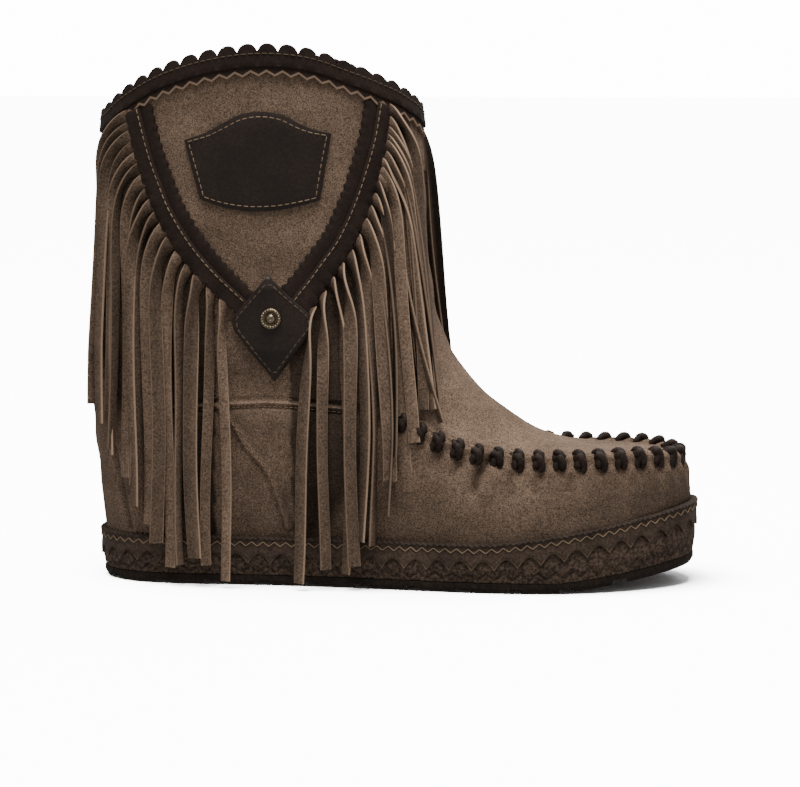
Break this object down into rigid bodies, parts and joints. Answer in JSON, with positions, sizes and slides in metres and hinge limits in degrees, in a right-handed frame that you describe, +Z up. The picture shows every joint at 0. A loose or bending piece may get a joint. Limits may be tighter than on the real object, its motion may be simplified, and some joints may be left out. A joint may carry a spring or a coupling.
{
  "type": "fringe boot",
  "caption": "Suede moccasin ankle boot with hidden wedge, crepe sole, laced apron, scalloped collar, V yoke with hanging fringe and a studded tab; stands on its sole.",
  "frame": {"origin": "on the ground under the middle of the sole, on the outsole's flat underside", "axes": "+X towards the toe, +Y towards the medial side, +Z up"},
  "size_m": [0.2742, 0.1022, 0.2403],
  "materials": {
    "suede": "matte napped suede",
    "dark_suede": "matte dark brown suede",
    "crepe_rubber": "matte mottled crepe",
    "tread_rubber": "matte",
    "lining": "matte lining leather",
    "fringe_suede": "matte suede with dark smooth backs",
    "dark_leather": "smooth, slightly glossy",
    "aged_metal": "aged polished brass"
  },
  "bodies": {
    "root": {"upper": "suede", "midsole": "crepe_rubber", "outsole": "tread_rubber", "rand": "dark_suede", "insole": "lining", "collar_band": "dark_suede", "apron_lace": "dark_leather", "yoke_trim_lateral": "dark_suede", "fringe_lateral": "fringe_suede", "yoke_tab_lateral": "dark_leather", "concho_lateral": "aged_metal", "shaft_patch_lateral": "dark_leather", "yoke_trim_medial": "dark_suede", "fringe_medial": "fringe_suede", "yoke_tab_medial": "dark_leather", "concho_medial": "aged_metal", "shaft_patch_medial": "dark_leather"}
  },
  "joints": []
}
